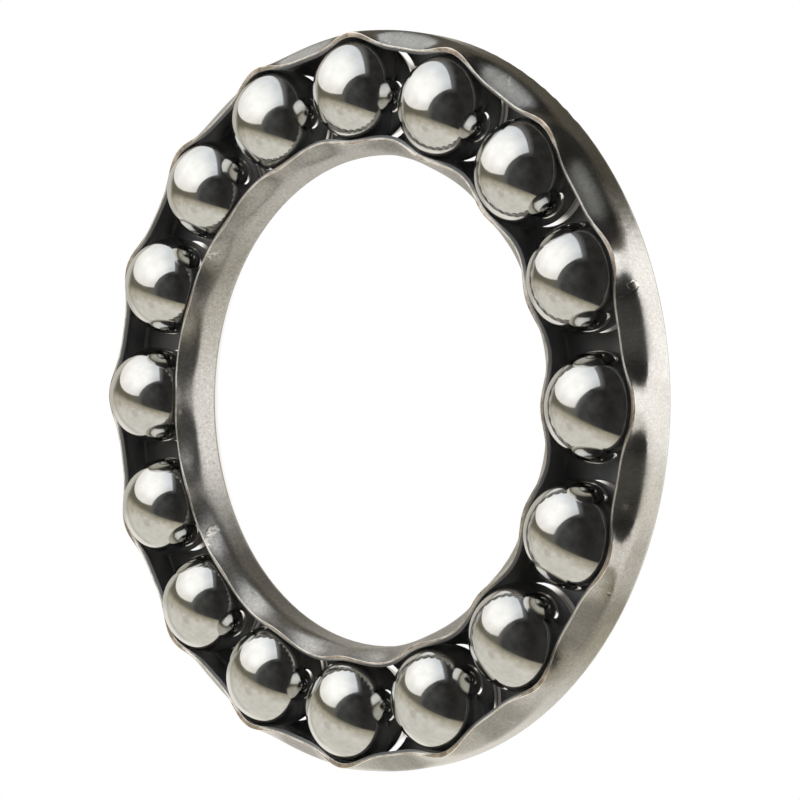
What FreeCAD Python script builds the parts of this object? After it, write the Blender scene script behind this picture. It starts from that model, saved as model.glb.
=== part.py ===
import FreeCAD, Part
import math
import os

# Ball and cage assembly of a single-direction thrust ball bearing.
# Millimetres. The bearing axis is +Z and the cage's open, wavy side faces +Z.
# The origin is on the bearing axis, in the plane of the ball centres.

# ---- driving dimensions -------------------------------------------------
BALLS = 16                # balls in the set
BALL_D = 10.0             # ball diameter
PITCH_R = 29.5            # radius of the circle through the ball centres
FIRST_DEG = 90.0          # where ball_01 stands, measured from +X

SHEET = 0.50              # cage sheet thickness
CAGE_OR = 35.25           # outer flange, outside radius at the web
CAGE_IR = 23.55           # inner flange, bore-side radius at the web
Z_WEB = -2.94             # outer face of the web
Z_LIP = 2.12              # height of the free lips beside a ball
BEND_R = 0.8              # outside bend radius between web and flanges
Z_STRAIGHT = -0.45        # the flanges are plain cylinders up to here

POCKET_R = 4.76           # pocket hole radius in the web
POCKET_EDGE = 0.12        # rounding of the pocket's two edges

# Lip radius round one ball pitch: mean + a1 cos(n w) + a2 cos(2 n w),
# with w = 0 at a ball centre and n the number of balls.
OUT_MEAN, OUT_A1, OUT_A2 = 34.11, 0.68, 0.155    # outside of the outer lip
IN_MEAN, IN_A1, IN_A2 = 24.66, -0.37, -0.02      # bore side of the inner lip
OUT_DROP = 0.17           # the outer lip ends this much lower where crimped
IN_DROP = 0.45            # and the inner lip this much

STEPS = 256               # control rows round the ring
LIP_EDGE = 0.13           # rounding of the lip's two sheared edges


# ---- helpers ------------------------------------------------------------
def periodic_poles(values):
    """Poles of the uniform periodic cubic through the values, which repeat
    every 360 degrees / BALLS, so one pitch of them is solved and repeated."""
    n = len(values)
    # (p[i-1] + 4 p[i] + p[i+1]) / 6 = v[i], a circulant system. Its inverse
    # is a fast-decaying symmetric kernel.
    root = math.sqrt(3.0) - 2.0
    out = []
    reach = 24
    scale = -6.0 * root / (1.0 - root * root)
    kernel = [scale * root ** k for k in range(reach + 1)]
    for i in range(n):
        acc = kernel[0] * values[i]
        for k in range(1, reach + 1):
            acc += kernel[k] * (values[(i - k) % n] + values[(i + k) % n])
        out.append(acc)
    return out


def lip_radius(w, mean, a1, a2):
    return mean + a1 * math.cos(BALLS * w) + a2 * math.cos(2 * BALLS * w)


def flange_profile(w, r_base, mean, a1, a2, drop, side):
    """Control points (r, z) of one flange's section at angle w from a ball:
    up the show side, over the sheared lip, down the ball side.
    side is +1 for the outer flange, whose ball side is at smaller radius,
    and -1 for the inner flange."""
    r_lip = lip_radius(w, mean, a1, a2)
    crimp = 0.5 - 0.5 * math.cos(BALLS * w)
    z_lip = Z_LIP - drop * crimp
    share = [0.0, 0.0, 0.035, 0.15, 0.36, 0.61, 0.84, 1.0]
    rise = [0.0, 0.13, 0.27, 0.41, 0.56, 0.71, 0.86, 1.0]
    show = []
    for s, q in zip(share, rise):
        show.append((r_base + s * (r_lip - r_base),
                     Z_STRAIGHT + q * (z_lip - Z_STRAIGHT)))
    # the same line offset by the sheet thickness, square to the wall
    back = []
    for i, (r, z) in enumerate(show):
        r0, z0 = show[max(i - 1, 0)]
        r1, z1 = show[min(i + 1, len(show) - 1)]
        if i <= 1:
            nr, nz = 1.0, 0.0
        else:
            d = math.hypot(r1 - r0, z1 - z0)
            nr, nz = (z1 - z0) / d, -(r1 - r0) / d
        back.append((r - side * SHEET * nr, z - side * SHEET * nz))
    # rounded corners at the sheared edge
    (ra, za), (rb, zb) = show[-1], back[-1]
    (rc, zc), (rd, zd) = show[-2], back[-2]

    def toward(p, q, dist):
        d = math.hypot(q[0] - p[0], q[1] - p[1])
        return (p[0] + (q[0] - p[0]) * dist / d, p[1] + (q[1] - p[1]) * dist / d)

    e = LIP_EDGE
    corner_a = [toward((ra, za), (rc, zc), e), (ra, za), toward((ra, za), (rb, zb), e)]
    corner_b = [toward((rb, zb), (ra, za), e), (rb, zb), toward((rb, zb), (rd, zd), e)]
    return show[:-1] + corner_a + corner_b + list(reversed(back[:-1]))


def wavy_flange(r_base, mean, a1, a2, drop, side):
    """One flange above Z_STRAIGHT: a single surface from the show side over
    the lip to the ball side, closed below by a flat ring."""
    du = 2.0 * math.pi / STEPS
    rows = [flange_profile(i * du, r_base, mean, a1, a2, drop, side)
            for i in range(STEPS)]
    nv = len(rows[0])
    start = math.radians(FIRST_DEG)
    xs, ys, zs = [], [], []
    for j in range(nv):
        px = [rows[i][j][0] * math.cos(start + i * du) for i in range(STEPS)]
        py = [rows[i][j][0] * math.sin(start + i * du) for i in range(STEPS)]
        pz = [rows[i][j][1] for i in range(STEPS)]
        xs.append(periodic_poles(px))
        ys.append(periodic_poles(py))
        zs.append(periodic_poles(pz))
    poles = []
    for i in range(STEPS):
        poles.append([FreeCAD.Vector(xs[j][i], ys[j][i], zs[j][i]) for j in range(nv)])
    uknots = [float(i) for i in range(STEPS + 1)]
    umults = [1] * (STEPS + 1)
    inner = nv - 4
    vknots = [float(i) for i in range(inner + 2)]
    vmults = [4] + [1] * inner + [4]
    surface = Part.BSplineSurface()
    surface.buildFromPolesMultsKnots(poles, umults, vmults, uknots, vknots,
                                     True, False, 3, 3)
    face = surface.toShape()
    rings = [e for e in face.Edges
             if abs(e.BoundBox.ZMax - e.BoundBox.ZMin) < 1e-4 and len(e.Vertexes) == 1]
    rings.sort(key=lambda e: -e.BoundBox.XMax)
    base = Part.Face([Part.Wire([rings[0]]), Part.Wire([rings[1]])])
    shell = Part.Shell([face, base])
    shell.sewShape()
    solid = Part.Solid(shell)
    if solid.Volume < 0:
        solid.reverse()
    return solid


def channel():
    """The pressed channel below Z_STRAIGHT: web, two bends, straight walls."""
    z0, z1, t, b = Z_WEB, Z_STRAIGHT, SHEET, BEND_R
    ro, ri = CAGE_OR, CAGE_IR
    k = math.sqrt(0.5)

    def v(r, z):
        return FreeCAD.Vector(r, 0, z)

    bi = b - t
    edges = [
        Part.LineSegment(v(ri + b, z0), v(ro - b, z0)).toShape(),
        Part.Arc(v(ro - b, z0), v(ro - b + b * k, z0 + b - b * k), v(ro, z0 + b)).toShape(),
        Part.LineSegment(v(ro, z0 + b), v(ro, z1)).toShape(),
        Part.LineSegment(v(ro, z1), v(ro - t, z1)).toShape(),
        Part.LineSegment(v(ro - t, z1), v(ro - t, z0 + b)).toShape(),
        Part.Arc(v(ro - t, z0 + b), v(ro - b + bi * k, z0 + b - bi * k), v(ro - b, z0 + t)).toShape(),
        Part.LineSegment(v(ro - b, z0 + t), v(ri + b, z0 + t)).toShape(),
        Part.Arc(v(ri + b, z0 + t), v(ri + b - bi * k, z0 + b - bi * k), v(ri + t, z0 + b)).toShape(),
        Part.LineSegment(v(ri + t, z0 + b), v(ri + t, z1)).toShape(),
        Part.LineSegment(v(ri + t, z1), v(ri, z1)).toShape(),
        Part.LineSegment(v(ri, z1), v(ri, z0 + b)).toShape(),
        Part.Arc(v(ri, z0 + b), v(ri + b - b * k, z0 + b - b * k), v(ri + b, z0)).toShape(),
    ]
    face = Part.Face(Part.Wire(edges))
    solid = face.revolve(FreeCAD.Vector(0, 0, 0), FreeCAD.Vector(0, 0, 1), 360)
    solid.rotate(FreeCAD.Vector(0, 0, 0), FreeCAD.Vector(0, 0, 1), FIRST_DEG)
    return solid


def pocket_tool():
    """Round punch with flared ends, so that the hole it leaves in the web
    has both edges rounded. Axis on Z, at the origin."""
    r, e, t = POCKET_R, POCKET_EDGE, SHEET
    z0, z1 = Z_WEB, Z_WEB + t
    k = math.sqrt(0.5)
    over = 0.3

    def v(x, z):
        return FreeCAD.Vector(x, 0, z)

    edges = [
        Part.LineSegment(v(0, z0 - over), v(r + e, z0 - over)).toShape(),
        Part.LineSegment(v(r + e, z0 - over), v(r + e, z0)).toShape(),
        Part.Arc(v(r + e, z0), v(r + e - e * k, z0 + e - e * k), v(r, z0 + e)).toShape(),
        Part.LineSegment(v(r, z0 + e), v(r, z1 - e)).toShape(),
        Part.Arc(v(r, z1 - e), v(r + e - e * k, z1 - e + e * k), v(r + e, z1)).toShape(),
        Part.LineSegment(v(r + e, z1), v(r + e, z1 + over)).toShape(),
        Part.LineSegment(v(r + e, z1 + over), v(0, z1 + over)).toShape(),
        Part.LineSegment(v(0, z1 + over), v(0, z0 - over)).toShape(),
    ]
    return Part.Face(Part.Wire(edges)).revolve(FreeCAD.Vector(0, 0, 0),
                                               FreeCAD.Vector(0, 0, 1), 360)


def ball_angle(i):
    return math.radians(FIRST_DEG - i * 360.0 / BALLS)


# ---- cage ---------------------------------------------------------------
lower = channel()
punch = pocket_tool()
punches = []
for i in range(BALLS):
    a = ball_angle(i)
    p = punch.copy()
    p.translate(FreeCAD.Vector(PITCH_R * math.cos(a), PITCH_R * math.sin(a), 0))
    punches.append(p)
lower = lower.cut(punches)

outer = wavy_flange(CAGE_OR, OUT_MEAN, OUT_A1, OUT_A2, OUT_DROP, +1)
inner = wavy_flange(CAGE_IR, IN_MEAN, IN_A1, IN_A2, IN_DROP, -1)
cage = lower.fuse([outer, inner], 1e-5)
if cage.ShapeType != "Solid" and len(cage.Solids) == 1:
    cage = cage.Solids[0]
print("cage", cage.ShapeType, "valid", cage.isValid(), "solids", len(cage.Solids),
      "faces", len(cage.Faces), "volume", round(cage.Volume, 2))

os.makedirs("parts", exist_ok=True)
cage.exportStep("parts/cage.step")

# ---- balls --------------------------------------------------------------
for i in range(BALLS):
    a = ball_angle(i)
    centre = FreeCAD.Vector(PITCH_R * math.cos(a), PITCH_R * math.sin(a), 0)
    # poles on the radial line that the ball rolls about, seam at the top
    ball = Part.makeSphere(BALL_D / 2.0)
    ball.rotate(FreeCAD.Vector(0, 0, 0), FreeCAD.Vector(0, 1, 0), -90.0)
    ball.rotate(FreeCAD.Vector(0, 0, 0), FreeCAD.Vector(0, 0, 1), math.degrees(a) + 180.0)
    ball.translate(centre)
    gap = ball.distToShape(cage)[0] if i == 0 else None
    if gap is not None:
        print("ball gap to cage", round(gap, 4))
    ball.exportStep("parts/ball_%02d.step" % (i + 1))
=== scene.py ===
import math

import bmesh
import bpy
from mathutils import Matrix, Vector


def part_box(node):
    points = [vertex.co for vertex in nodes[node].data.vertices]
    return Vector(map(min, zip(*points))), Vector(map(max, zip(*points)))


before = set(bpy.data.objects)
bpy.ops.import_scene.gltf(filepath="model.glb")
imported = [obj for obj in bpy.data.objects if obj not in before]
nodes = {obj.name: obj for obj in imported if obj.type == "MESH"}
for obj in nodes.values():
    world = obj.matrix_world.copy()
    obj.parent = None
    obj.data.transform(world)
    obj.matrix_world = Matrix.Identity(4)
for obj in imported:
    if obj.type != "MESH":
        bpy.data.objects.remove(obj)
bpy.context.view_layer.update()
scene = bpy.context.scene

# ------------------------------------------------------------------ camera
# The bearing lies flat in the frame. The picture is taken from 46 degrees
# above its plane with the camera rolled a quarter turn, so that the axis
# points left in the image.
CAM_POS = Vector((0.16990043130396384, 0.0036403892431150085, 0.17206917612886555))
CAM_ROT = Matrix((
    (0.7221216730610389, -0.018438684678168598, 0.6915202847370893),
    (0.011581031596877737, 0.9998268429269658, 0.014565846005252805),
    (-0.691669118150202, -0.002509794819440487, 0.7222101715756198),
))
cam_data = bpy.data.cameras.new("photo_camera")
cam_data.sensor_width = 36.0
cam_data.lens = 113.965
cam_data.clip_start = 0.01
cam_data.clip_end = 50.0
cam = bpy.data.objects.new("photo_camera", cam_data)
cam.matrix_world = Matrix.Translation(CAM_POS) @ CAM_ROT.to_4x4()
scene.collection.objects.link(cam)
scene.camera = cam


def cam_dir(x, y, z):
    """A direction given as right, up, toward the camera, in the row frame.
    Its length is kept."""
    return CAM_ROT @ Vector((x, y, z))


# ------------------------------------------------------- shader node tools
class Net:
    def __init__(self, material):
        material.use_nodes = True
        self.t = material.node_tree
        self.t.nodes.clear()

    def node(self, kind, **kw):
        n = self.t.nodes.new(kind)
        for k, v in kw.items():
            setattr(n, k, v)
        return n

    def put(self, socket, value):
        if hasattr(value, "is_output") and value.is_output:
            self.t.links.new(value, socket)
        elif value is not None:
            socket.default_value = value

    def math(self, op, a, b=None, c=None, clamp=False):
        n = self.node("ShaderNodeMath", operation=op, use_clamp=clamp)
        self.put(n.inputs[0], a)
        if b is not None:
            self.put(n.inputs[1], b)
        if c is not None:
            self.put(n.inputs[2], c)
        return n.outputs[0]

    def mul(self, *a):
        out = a[0]
        for b in a[1:]:
            out = self.math("MULTIPLY", out, b)
        return out

    def add(self, a, b):
        return self.math("ADD", a, b)

    def sub(self, a, b):
        return self.math("SUBTRACT", a, b)

    def inv(self, a):
        return self.math("SUBTRACT", 1.0, a)

    def vec(self, op, a, b=None, scale=None):
        n = self.node("ShaderNodeVectorMath", operation=op)
        self.put(n.inputs[0], a)
        if b is not None:
            self.put(n.inputs[1], b)
        if scale is not None:
            self.put(n.inputs["Scale"], scale)
        return n

    def dot(self, v, d):
        n = self.vec("DOT_PRODUCT", v, None)
        self.put(n.inputs[1], d if hasattr(d, "is_output") else tuple(d))
        return n.outputs["Value"]

    def step(self, value, lo, hi, out_lo=0.0, out_hi=1.0):
        n = self.node("ShaderNodeMapRange", interpolation_type="SMOOTHSTEP")
        self.put(n.inputs["Value"], value)
        n.inputs["From Min"].default_value = lo
        n.inputs["From Max"].default_value = hi
        n.inputs["To Min"].default_value = out_lo
        n.inputs["To Max"].default_value = out_hi
        return n.outputs["Result"]

    def ramp(self, value, lo, hi, out_lo=0.0, out_hi=1.0):
        n = self.node("ShaderNodeMapRange", interpolation_type="LINEAR")
        self.put(n.inputs["Value"], value)
        n.inputs["From Min"].default_value = lo
        n.inputs["From Max"].default_value = hi
        n.inputs["To Min"].default_value = out_lo
        n.inputs["To Max"].default_value = out_hi
        return n.outputs["Result"]

    def mix(self, fac, a, b):
        n = self.node("ShaderNodeMix", data_type="RGBA")
        self.put(n.inputs[0], fac)
        self.put(n.inputs[6], a)
        self.put(n.inputs[7], b)
        return n.outputs[2]

    def tint(self, color, factor):
        """Colour times a scalar."""
        return self.vec("SCALE", color, None, factor).outputs["Vector"]

    def noise(self, vec, scale, detail=3.0, rough=0.5, distort=0.0):
        n = self.node("ShaderNodeTexNoise")
        if vec is not None:
            self.put(n.inputs["Vector"], vec)
        n.inputs["Scale"].default_value = scale
        n.inputs["Detail"].default_value = detail
        n.inputs["Roughness"].default_value = rough
        n.inputs["Distortion"].default_value = distort
        return n.outputs[0]

    def combine(self, x, y, z):
        n = self.node("ShaderNodeCombineXYZ")
        self.put(n.inputs[0], x)
        self.put(n.inputs[1], y)
        self.put(n.inputs[2], z)
        return n.outputs[0]

    def split(self, v):
        n = self.node("ShaderNodeSeparateXYZ")
        self.put(n.inputs[0], v)
        return n.outputs

    def bump(self, height, strength, distance, normal=None):
        n = self.node("ShaderNodeBump")
        n.inputs["Strength"].default_value = strength
        n.inputs["Distance"].default_value = distance
        self.put(n.inputs["Height"], height)
        if normal is not None:
            self.put(n.inputs["Normal"], normal)
        return n.outputs[0]


# ------------------------------------------------------------------ studio
# Steel this bright is mostly a picture of its surroundings, so the studio is
# a painted dome of 200 mm radius that only reflections see: one large soft
# light up and to the left, a dark room behind the camera, a pale table
# below, white card on the right. The camera itself sees plain white.
DOME_R = 0.200
bm = bmesh.new()
bmesh.ops.create_icosphere(bm, subdivisions=5, radius=DOME_R)
dome_mesh = bpy.data.meshes.new("studio_dome")
bm.to_mesh(dome_mesh)
bm.free()
dome = bpy.data.objects.new("studio_dome", dome_mesh)
scene.collection.objects.link(dome)
dome.visible_camera = False
dome.visible_shadow = False

dome_mat = bpy.data.materials.new("studio_paint")
w = Net(dome_mat)
direction = w.vec("NORMALIZE", w.node("ShaderNodeNewGeometry").outputs["Position"]).outputs["Vector"]
dx = w.dot(direction, cam_dir(1, 0, 0))
dy = w.dot(direction, cam_dir(0, 1, 0))
dz = w.dot(direction, cam_dir(0, 0, 1))


def past(n, c):
    """Signed distance of the direction past the plane n . d = c."""
    return w.sub(w.dot(direction, cam_dir(*n)), c)


def edge(dist, soft):
    return w.step(dist, -soft, soft)


# soft light: three sharp edges and a far end out of sight
ab = past((-0.9795, 0.0567, 0.1934), 0.1559)
bc = past((-0.1491, 0.3748, -0.9151), -0.485)
cd = past((-0.2477, 0.9772, 0.3293), 0.379)
softbox = w.mul(edge(ab, 0.012), edge(bc, 0.012), edge(cd, 0.014))
softbox = w.mul(softbox, w.step(dz, -0.85, -0.60))
glow = w.mix(w.step(ab, 0.0, 0.60), (0.76, 0.79, 0.82, 1), (1.26, 1.25, 1.21, 1))
glow = w.mix(w.step(cd, 0.42, 0.0), glow, (0.96, 0.93, 0.875, 1))
glow = w.tint(glow, w.mul(w.step(bc, -0.02, 0.30, 0.86, 1.0), w.ramp(w.noise(direction, 2.6, 2.0), 0.3, 0.7, 0.94, 1.05)))

# room behind the camera, lighter close to the light's edges
near_ab = w.mul(w.step(ab, -0.20, 0.0), w.step(dy, 0.45, 0.75))
near_bc = w.mul(w.step(bc, -0.22, 0.0), w.step(dx, -0.10, -0.55))
lift = w.math("MAXIMUM", w.mul(near_ab, 0.14), w.mul(near_bc, 0.075))
room = w.noise(direction, 3.0, 2.0)
dark = w.mix(w.step(dx, 0.22, -0.50), (0.034, 0.033, 0.031, 1), (0.070, 0.070, 0.067, 1))
dark = w.tint(dark, w.ramp(room, 0.3, 0.7, 0.56, 1.10))
dark = w.vec("ADD", dark, w.combine(lift, lift, w.mul(lift, 1.03))).outputs["Vector"]
# olive shade between the light and the table
olive = w.mix(w.step(dx, -0.60, -0.95), dark, (0.150, 0.138, 0.100, 1))

# table: mottled beige near its edge, smooth pale grey further on
tb = past((-0.3471, -0.8929, -0.2867), 0.3446)
table = edge(tb, 0.022)
mottle = w.noise(direction, 75.0, 2.0, 0.6)
cloud = w.noise(direction, 6.0, 3.0, 0.55)
beige = w.mix(w.ramp(mottle, 0.30, 0.70), (0.36, 0.33, 0.25, 1), (0.56, 0.52, 0.42, 1))
beige = w.mix(w.mul(w.step(tb, 0.13, 0.0), w.step(dx, 0.30, -0.55, 0.55, 1.0)), beige, (0.20, 0.185, 0.135, 1))
beige = w.tint(beige, w.ramp(cloud, 0.3, 0.7, 0.85, 1.12))
grey = w.mix(w.ramp(cloud, 0.3, 0.7), (0.64, 0.615, 0.55, 1), (0.76, 0.74, 0.67, 1))
far_table = w.step(w.add(tb, w.mul(w.sub(cloud, 0.5), 0.14)), 0.10, 0.36)
table_col = w.mix(far_table, beige, grey)
spot = w.mul(w.step(w.dot(direction, cam_dir(-0.80, -0.56, 0.22).normalized()), 0.985, 0.998), 0.30)
table_col = w.mix(spot, table_col, (0.22, 0.16, 0.13, 1))

# right-hand side and floor level, seen by the cage's walls
low = w.mix(w.step(dy, -0.30, -0.10), (1.02, 0.98, 0.91, 1), (0.66, 0.63, 0.56, 1))
low = w.tint(low, w.step(dz, -0.45, -0.90, 1.0, 0.74))
patch = w.step(w.dot(direction, cam_dir(0.83, -0.54, -0.17).normalized()), 0.982, 0.998, 0.0, 0.55)
low = w.mix(patch, low, (0.34, 0.31, 0.26, 1))
low = w.mix(w.step(dy, 0.44, 0.56), low, (0.112, 0.100, 0.078, 1))
card = w.mul(w.step(dx, 0.70, 0.86), w.step(dy, 0.57, 0.52), w.step(dy, -0.30, -0.08))
card_col = w.mix(w.noise(direction, 5.0, 2.0), (1.36, 1.32, 1.28, 1), (1.62, 1.60, 1.56, 1))
low = w.mix(card, low, card_col)

# put together, from the back to the front
side = w.math("MAXIMUM", w.mul(w.step(dx, 0.62, 0.80), w.step(dz, 0.66, 0.50)), w.step(dz, -0.15, -0.45))
col = w.mix(side, dark, low)
left = w.mul(w.step(dx, -0.42, -0.52), w.step(dz, -0.72, -0.45))
col = w.mix(left, col, olive)
col = w.mix(w.mul(table, w.step(dz, -0.75, -0.40)), col, table_col)
col = w.mix(softbox, col, glow)
dome_em = w.node("ShaderNodeEmission")
w.put(dome_em.inputs["Color"], col)
dome_em.inputs["Strength"].default_value = 1.36
dome_out = w.node("ShaderNodeOutputMaterial")
w.put(dome_out.inputs["Surface"], dome_em.outputs[0])
dome_mat.cycles.emission_sampling = "NONE"
dome_mesh.materials.append(dome_mat)

world = bpy.data.worlds.new("white")
scene.world = world
world.use_nodes = True
world.node_tree.nodes["Background"].inputs["Color"].default_value = (1, 1, 1, 1)
world.node_tree.nodes["Background"].inputs["Strength"].default_value = 1.0

# ------------------------------------------------------------------- floor
# Plain white, with a painted soft contact shade under the ring of balls.
# Reflections look past it to the dome, except in that shaded band, where they
# see the painted shade too.
bpy.ops.mesh.primitive_plane_add(size=4.0, location=(0, 0, -0.00502))
floor = bpy.context.object
floor.name = "floor"
floor_mat = bpy.data.materials.new("floor_white")
f = Net(floor_mat)
fg = f.node("ShaderNodeNewGeometry")
fp = f.split(fg.outputs["Position"])
fi = f.split(fg.outputs["Incoming"])
fr = f.math("SQRT", f.add(f.mul(fp[0], fp[0]), f.mul(fp[1], fp[1])))
shade = f.mul(f.step(fr, 0.0257, 0.0266), f.step(fr, 0.0331, 0.0321))
# Painted light and shade: light reaches the floor under the ring only from its
# two edges and from the far side of each pocket, so what shows through a pocket
# is painted as a thin bright rim on dark shade.
lift_by = f.math("DIVIDE", f.sub(-0.00244, fp[2]), fi[2])
qx = f.add(fp[0], f.mul(fi[0], lift_by))
qy = f.add(fp[1], f.mul(fi[1], lift_by))
qr = f.math("SQRT", f.add(f.mul(qx, qx), f.mul(qy, qy)))
part = f.mul(f.math("ARCTAN2", qy, qx), 16.0 / (2.0 * math.pi))
part = f.mul(f.sub(part, f.math("ROUND", part)), 2.0 * math.pi / 16.0)
ex = f.sub(f.mul(qr, f.math("COSINE", part)), 0.0295)
ey = f.mul(qr, f.math("SINE", part))
reach = f.math("SQRT", f.add(f.mul(ex, ex), f.mul(ey, ey)))
rim = f.step(reach, 0.00432, 0.00450)
edge_light = f.math("MAXIMUM", f.step(fr, 0.0276, 0.0262, 0.10, 1.0), f.step(fr, 0.0316, 0.0330, 0.10, 1.0))
under = f.mix(f.mul(rim, edge_light), (0.040, 0.037, 0.036, 1), (0.80, 0.76, 0.68, 1))
floor_with_painted_shade = f.mix(shade, (1, 1, 1, 1), under)
em = f.node("ShaderNodeEmission")
f.put(em.inputs["Color"], floor_with_painted_shade)
clear = f.node("ShaderNodeBsdfTransparent")
ms = f.node("ShaderNodeMixShader")
f.put(ms.inputs[0], f.math("MAXIMUM", f.node("ShaderNodeLightPath").outputs["Is Camera Ray"], shade))
f.put(ms.inputs[1], clear.outputs[0])
f.put(ms.inputs[2], em.outputs[0])
fo = f.node("ShaderNodeOutputMaterial")
f.put(fo.inputs["Surface"], ms.outputs[0])
floor_mat.cycles.emission_sampling = "NONE"
floor.data.materials.append(floor_mat)

# ----------------------------------------------------------- ball material
ball_mat = bpy.data.materials.new("ball_steel")
b = Net(ball_mat)
btc = b.node("ShaderNodeTexCoord")
bco = btc.outputs["Object"]
bn = b.noise(bco, 900.0, 3.0)
haze = b.noise(bco, 210.0, 3.0, 0.55)
dust = b.noise(bco, 5200.0, 2.0, 0.6)
# true outward direction of the sphere, so that small facets don't show
centred = b.vec("SUBTRACT", btc.outputs["Generated"], (0.5, 0.5, 0.5))
to_world = b.node("ShaderNodeVectorTransform")
to_world.vector_type = "NORMAL"
to_world.convert_from = "OBJECT"
to_world.convert_to = "WORLD"
b.put(to_world.inputs[0], centred.outputs["Vector"])
outward = b.vec("NORMALIZE", to_world.outputs[0]).outputs["Vector"]
bs = b.node("ShaderNodeBsdfPrincipled")
bs.inputs["Metallic"].default_value = 1.0
tone = b.mix(b.ramp(bn, 0.3, 0.7), (0.555, 0.555, 0.540, 1), (0.605, 0.605, 0.598, 1))
tone = b.tint(tone, b.ramp(dust, 0.66, 0.78, 1.0, 0.86))
# a ball mirrored in another ball is soft, and softer across the bore, where it
# is also darkened as painted shade
path = b.node("ShaderNodeLightPath")
far_off = b.step(path.outputs["Ray Length"], 0.010, 0.022)
soft = b.mul(path.outputs["Is Glossy Ray"], b.add(0.14, b.mul(far_off, 0.36)))
b.put(bs.inputs["Roughness"], b.math("MAXIMUM", soft, b.add(b.ramp(haze, 0.35, 0.7, 0.045, 0.105), b.ramp(bn, 0.3, 0.7, 0.0, 0.02))))
# painted shade: balls mirrored across the bore are darkened
tone = b.tint(tone, b.sub(1.0, b.mul(b.mul(path.outputs["Is Glossy Ray"], far_off), 0.45)))
b.put(bs.inputs["Base Color"], tone)
b.put(bs.inputs["Normal"], b.bump(dust, 0.25, 0.000004, outward))
bo = b.node("ShaderNodeOutputMaterial")
b.put(bo.inputs["Surface"], bs.outputs[0])

# ----------------------------------------------------------- cage material
# Pressed sheet steel. The show sides are satin with a fine grain, cloudy
# patches and tool marks where the flanges are crimped, the sheared lips are bare
# with a painted highlight on their rounded corners, and the inside of the
# channel has painted shade: a darker colour, and less metallic.
cage_mat = bpy.data.materials.new("cage_steel")
c = Net(cage_mat)
geo = c.node("ShaderNodeNewGeometry")
pos = c.node("ShaderNodeTexCoord").outputs["Object"]
px, py, pz = c.split(pos)[0:3]
rad = c.math("SQRT", c.add(c.mul(px, px), c.mul(py, py)))
nrm = c.split(geo.outputs["Normal"])
n_rad = c.math("DIVIDE", c.add(c.mul(nrm[0], px), c.mul(nrm[1], py)), rad)
turn = c.math("ARCTAN2", py, px)
wave = c.math("COSINE", c.mul(turn, 16.0))          # 1 at a ball, -1 at a crimp
crimp = c.ramp(wave, 0.6, -1.0)
outer = c.step(rad, 0.0290, 0.0298)
# which way a face looks from the middle of the channel: above 0 outward
facing = c.add(c.mul(n_rad, c.sub(rad, 0.0294)), c.mul(nrm[2], pz))
inside = c.step(facing, 0.0002, -0.0012)
low_by = c.mul(c.inv(wave), c.ramp(outer, 0.0, 1.0, 0.000225, 0.000085))
lip = c.step(c.add(pz, low_by), 0.00201, 0.00206)

blot = c.noise(pos, 260.0, 4.0, 0.6)
cloud2 = c.noise(pos, 75.0, 2.0, 0.5)
grain = c.noise(pos, 9000.0, 2.0, 0.7)
speck = c.noise(pos, 2600.0, 3.0, 0.65)
along = c.combine(c.mul(turn, 0.0350), c.mul(pz, 14.0), rad)
dent = c.mul(c.step(c.noise(pos, 430.0, 2.0, 0.5), 0.685, 0.73), c.step(pz, -0.0008, 0.0004))
rub = c.noise(along, 1500.0, 3.0, 0.6)              # short marks round the ring
across = c.combine(c.mul(turn, 0.0350), c.mul(pz, 0.12), 0.0)
comb = c.noise(across, 5200.0, 2.0, 0.5)            # tool marks up the crimps
marks = c.mul(comb, c.step(crimp, 0.55, 0.95), c.step(pz, -0.0008, 0.0004), outer)

base = c.mix(c.ramp(blot, 0.35, 0.65), (0.520, 0.505, 0.480, 1), (0.600, 0.592, 0.570, 1))
base = c.mix(c.step(cloud2, 0.50, 0.68, 0.0, 0.5), base, (0.545, 0.535, 0.470, 1))
base = c.tint(base, c.ramp(grain, 0.3, 0.7, 0.84, 1.13))
satin = c.noise(pos, 3600.0, 2.0, 0.6)
satin_in = c.tint(base, c.ramp(satin, 0.30, 0.70, 0.80, 1.18))
satin_out = c.tint(base, c.ramp(satin, 0.30, 0.70, 0.90, 1.09))
base = c.mix(outer, satin_in, satin_out)
base = c.tint(base, c.ramp(speck, 0.60, 0.74, 1.0, 0.74))
base = c.tint(base, c.ramp(marks, 0.40, 0.75, 1.0, 1.18))
base = c.tint(base, c.ramp(outer, 0.0, 1.0, 0.72, 0.79))
# painted shade darkening the crimps of the outer flange
crimp_painted_shade = c.mul(c.step(crimp, 0.30, 0.85), c.step(c.add(pz, c.mul(c.sub(blot, 0.5), 0.0012)), -0.0009, 0.0006), outer)
base = c.tint(base, c.sub(1.0, c.mul(crimp_painted_shade, c.ramp(cloud2, 0.3, 0.7, 0.16, 0.30))))
base = c.mix(c.mul(dent, c.ramp(satin, 0.4, 0.6)), base, (0.80, 0.76, 0.70, 1))
# painted shade: a darker colour for the inside of the channel
channel_painted_shade = c.mix(c.ramp(blot, 0.35, 0.65), (0.20, 0.205, 0.225, 1), (0.27, 0.27, 0.27, 1))
base = c.mix(inside, base, channel_painted_shade)
bare_n = c.noise(pos, 900.0, 3.0, 0.6)
land = c.mix(c.ramp(bare_n, 0.38, 0.62), (0.34, 0.275, 0.225, 1), (0.62, 0.55, 0.48, 1))
# painted highlight: the rounded corners of the lips are coloured brighter than the flat land
lip_corner_painted_highlight = c.mix(c.ramp(bare_n, 0.30, 0.55), (0.66, 0.60, 0.53, 1), (1.0, 0.97, 0.93, 1))
bare_lip_and_painted_highlight = c.mix(c.step(nrm[2], 0.985, 0.90), land, lip_corner_painted_highlight)
base = c.mix(lip, base, bare_lip_and_painted_highlight)

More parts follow.
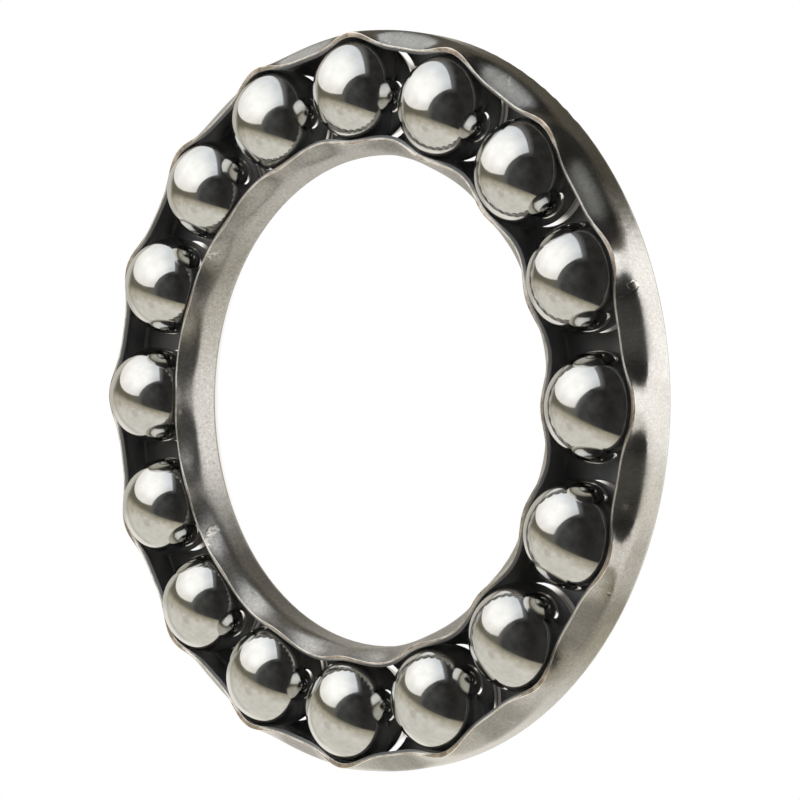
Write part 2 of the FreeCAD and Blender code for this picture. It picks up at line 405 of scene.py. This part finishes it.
rough = c.add(c.ramp(blot, 0.3, 0.7, 0.15, 0.23), c.mul(grain, 0.06))
rough = c.add(rough, c.mul(c.inv(outer), 0.16))
rough = c.add(rough, c.mul(inside, 0.26))
rough = c.add(rough, c.mul(crimp_painted_shade, 0.20))
rough = c.add(rough, c.mul(lip, 0.16))
# the balls mirror the lips from very close: keep that image soft, and darken it
# as painted shade
mirrored = c.mul(c.node("ShaderNodeLightPath").outputs["Is Glossy Ray"], c.step(c.add(pz, low_by), 0.00175, 0.00190))
rough = c.math("MAXIMUM", rough, c.mul(mirrored, 0.95))
# painted shade on the lips as the balls mirror them
base = c.tint(base, c.sub(1.0, c.mul(mirrored, 0.45)))

cs = c.node("ShaderNodeBsdfPrincipled")
c.put(cs.inputs["Metallic"], c.ramp(inside, 0.0, 1.0, 1.0, 0.45))
c.put(cs.inputs["Base Color"], base)
c.put(cs.inputs["Roughness"], rough)
c.put(cs.inputs["Specular Tint"], c.mix(mirrored, (1, 1, 1, 1), (0.25, 0.25, 0.25, 1)))
height = c.add(c.mul(c.noise(pos, 650.0, 2.0, 0.5), 1.0), c.mul(grain, 0.05))
height = c.add(height, c.add(c.mul(rub, 0.06), c.mul(marks, 0.30)))
height = c.sub(c.add(height, c.mul(satin, 0.10)), c.mul(dent, 0.9))
c.put(cs.inputs["Normal"], c.bump(height, 1.0, 0.000022))
co = c.node("ShaderNodeOutputMaterial")
c.put(co.inputs["Surface"], cs.outputs[0])

for name, o in nodes.items():
    o.data.materials.clear()
    if name == "cage":
        o.data.materials.append(cage_mat)
    else:
        o.data.materials.append(ball_mat)
        # finer facets, drawn onto the true sphere
        low_c, high_c = (Vector(v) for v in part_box(name))
        centre = bpy.data.objects.new(name + "_centre", None)
        scene.collection.objects.link(centre)
        centre.location = (low_c + high_c) / 2.0
        finer = o.modifiers.new("finer", "SUBSURF")
        finer.subdivision_type = "SIMPLE"
        finer.levels = finer.render_levels = 1
        round_off = o.modifiers.new("round_off", "CAST")
        round_off.cast_type = "SPHERE"
        round_off.object = centre
        round_off.use_radius_as_size = False
        round_off.size = (high_c.x - low_c.x) / 2.0
        round_off.radius = 0.0
        round_off.factor = 1.0
    for p in o.data.polygons:
        p.use_smooth = True

scene.view_settings.view_transform = "Standard"
scene.view_settings.look = "None"
